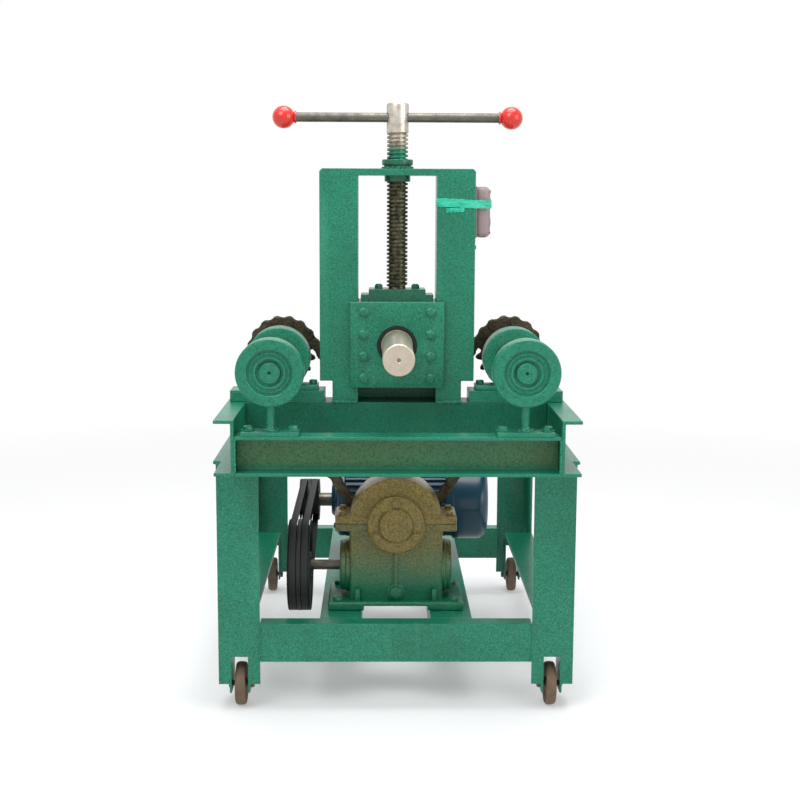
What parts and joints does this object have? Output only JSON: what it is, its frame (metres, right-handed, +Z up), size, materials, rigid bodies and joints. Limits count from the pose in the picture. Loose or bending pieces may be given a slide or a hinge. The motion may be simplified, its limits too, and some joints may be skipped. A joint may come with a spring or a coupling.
{
  "type": "electric pipe bender",
  "caption": "Floor-standing electric pipe bender with a screw-pressed upper shaft, chain-driven lower shafts, worm reducer, belt drive and motor on a steel stand with casters.",
  "frame": {"origin": "middle of the footprint on the floor", "axes": "+Z up, +Y to the rear, away from the shaft ends, +X to the right seen from the front"},
  "size_m": [0.548, 0.826, 0.916],
  "materials": {
    "green_paint": "hammered enamel",
    "gold_paint": "gold overspray on green enamel",
    "blue_paint": "enamel",
    "oiled_steel": "oily, dark in the thread",
    "turned_steel": "turned",
    "worn_steel": "worn",
    "chain_steel": "blackened",
    "dark_iron": "cast",
    "wheel_iron": "rusty",
    "belt_rubber": "matt",
    "red_plastic": "glossy",
    "black_plastic": "matt",
    "grey_plastic": "satin"
  },
  "bodies": {
    "stand": {"base_block_left": "green_paint", "base_block_right": "green_paint", "bottom_rail_front": "green_paint", "bottom_rail_left": "green_paint", "bottom_rail_rear": "green_paint", "bottom_rail_right": "green_paint", "caster_axle_front_left": "worn_steel", "caster_axle_front_right": "worn_steel", "caster_axle_rear_left": "worn_steel", "caster_axle_rear_right": "worn_steel", "cross_beam": "green_paint", "drive_belt_inner": "belt_rubber", "drive_belt_outer": "belt_rubber", "drive_chain": "chain_steel", "front_beam": "green_paint", "head_frame": "green_paint", "lead_nut": "green_paint", "leg_front_left": "green_paint", "leg_front_right": "green_paint", "leg_rear_left": "green_paint", "leg_rear_right": "green_paint", "motor_bar_left": "green_paint", "motor_bar_right": "green_paint", "motor_body": "blue_paint", "outboard_support_left": "green_paint", "outboard_support_right": "green_paint", "rear_bearing_left": "green_paint", "rear_bearing_right": "green_paint", "reducer_cap": "gold_paint", "reducer_cover": "gold_paint", "reducer_housing": "green_paint", "side_channel_left": "green_paint", "side_channel_right": "green_paint", "switch_box": "grey_plastic", "top_rail_left": "green_paint", "top_rail_right": "green_paint"},
    "press_block": {"slide_block": "green_paint", "cover_plate": "green_paint", "screw_clamp": "green_paint"},
    "screw": {"lead_screw": "oiled_steel"},
    "handle": {"handle_bar": "worn_steel", "knob_left": "red_plastic", "knob_right": "red_plastic"},
    "upper_roller": {"upper_shaft": "turned_steel"},
    "motor_rotor": {"motor_shaft": "worn_steel", "motor_pulley": "dark_iron"},
    "worm": {"worm_shaft": "worn_steel", "worm_pulley": "dark_iron"},
    "output": {"output_shaft": "worn_steel", "output_sprocket": "dark_iron"},
    "lower_roller_left": {"lower_shaft_left": "turned_steel", "roller_sprocket_left": "dark_iron"},
    "lower_roller_right": {"lower_shaft_right": "turned_steel", "roller_sprocket_right": "dark_iron"},
    "wheel_front_left": {"caster_wheel_front_left": "wheel_iron"},
    "wheel_front_right": {"caster_wheel_front_right": "wheel_iron"},
    "wheel_rear_left": {"caster_wheel_rear_left": "wheel_iron"},
    "wheel_rear_right": {"caster_wheel_rear_right": "wheel_iron"},
    "forward_button": {"button_forward": "red_plastic"},
    "reverse_button": {"button_reverse": "black_plastic"}
  },
  "joints": [
    {"name": "screw_turn", "type": "hinge", "parent": "press_block", "child": "screw", "pos_m": [0, -0.181, 0.7], "axis": [0, 0, 1], "range_deg": [-1080, 8280]},
    {"name": "block_slide", "type": "slide", "parent": "stand", "child": "press_block", "axis": [0, 0, 1], "range_m": [-0.0181, 0.1381]},
    {"name": "handle_slide", "type": "slide", "parent": "screw", "child": "handle", "axis": [1, 0, 0], "range_m": [-0.135, 0.135]},
    {"name": "upper_shaft_spin", "type": "hinge", "parent": "press_block", "child": "upper_roller", "pos_m": [0, -0.27, 0.555], "axis": [0, 1, 0], "continuous": true},
    {"name": "motor_spin", "type": "hinge", "parent": "stand", "child": "motor_rotor", "pos_m": [-0.1, 0.16, 0.234], "axis": [1, 0, 0], "continuous": true},
    {"name": "worm_spin", "type": "hinge", "parent": "stand", "child": "worm", "pos_m": [0, -0.145, 0.195], "axis": [1, 0, 0], "continuous": true},
    {"name": "output_spin", "type": "hinge", "parent": "stand", "child": "output", "pos_m": [0, -0.145, 0.272], "axis": [0, 1, 0], "continuous": true},
    {"name": "roller_left_spin", "type": "hinge", "parent": "stand", "child": "lower_roller_left", "pos_m": [-0.18, -0.19, 0.533], "axis": [0, 1, 0], "continuous": true},
    {"name": "roller_right_spin", "type": "hinge", "parent": "stand", "child": "lower_roller_right", "pos_m": [0.18, -0.19, 0.533], "axis": [0, 1, 0], "continuous": true},
    {"name": "caster_front_left_spin", "type": "hinge", "parent": "stand", "child": "wheel_front_left", "pos_m": [-0.238, -0.242, 0.033], "axis": [1, 0, 0], "continuous": true},
    {"name": "caster_front_right_spin", "type": "hinge", "parent": "stand", "child": "wheel_front_right", "pos_m": [0.238, -0.242, 0.033], "axis": [1, 0, 0], "continuous": true},
    {"name": "caster_rear_left_spin", "type": "hinge", "parent": "stand", "child": "wheel_rear_left", "pos_m": [-0.238, 0.38, 0.033], "axis": [1, 0, 0], "continuous": true},
    {"name": "caster_rear_right_spin", "type": "hinge", "parent": "stand", "child": "wheel_rear_right", "pos_m": [0.238, 0.38, 0.033], "axis": [1, 0, 0], "continuous": true},
    {"name": "forward_press", "type": "slide", "parent": "stand", "child": "forward_button", "axis": [1, 0, 0], "range_m": [-0.002, 0], "stiffness_N_per_m": 300},
    {"name": "reverse_press", "type": "slide", "parent": "stand", "child": "reverse_button", "axis": [1, 0, 0], "range_m": [-0.002, 0], "stiffness_N_per_m": 300}
  ],
  "couplings": [
    {"joint": "block_slide", "follows": "screw_turn", "m_per_rad": 0.00095493},
    {"joint": "worm_spin", "follows": "motor_spin", "ratio": 0.48529},
    {"joint": "output_spin", "follows": "motor_spin", "ratio": 0.012132},
    {"joint": "roller_left_spin", "follows": "motor_spin", "ratio": 0.012132},
    {"joint": "roller_right_spin", "follows": "motor_spin", "ratio": 0.012132}
  ]
}
